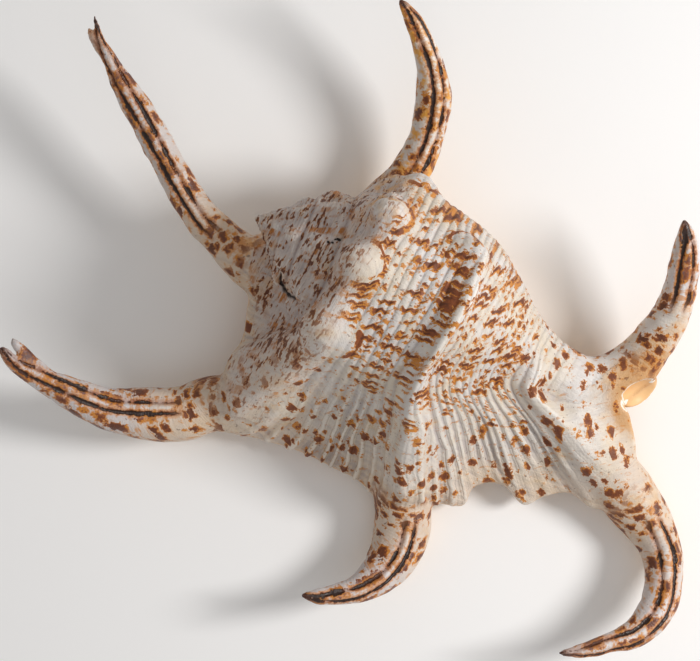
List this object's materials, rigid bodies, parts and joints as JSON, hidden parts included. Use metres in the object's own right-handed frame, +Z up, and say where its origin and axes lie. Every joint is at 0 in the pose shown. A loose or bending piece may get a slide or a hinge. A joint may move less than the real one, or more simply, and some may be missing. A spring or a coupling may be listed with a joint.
{
  "type": "spider conch shell",
  "caption": "Large sea snail shell with a flared lip that ends in long curved fingers, a knobbed spire, fine spiral ribs and a slit mouth beneath.",
  "frame": {"origin": "middle of the bounding box on the surface that the shell lies on, mouth down", "axes": "+X from the spire towards the front canal, +Y away from the flared lip, +Z up out of the shell's back"},
  "size_m": [0.1944, 0.1836, 0.0626],
  "materials": {
    "shell": "satin, cream with rust-brown streaks"
  },
  "bodies": {
    "root": {"shell": "shell"}
  },
  "joints": []
}
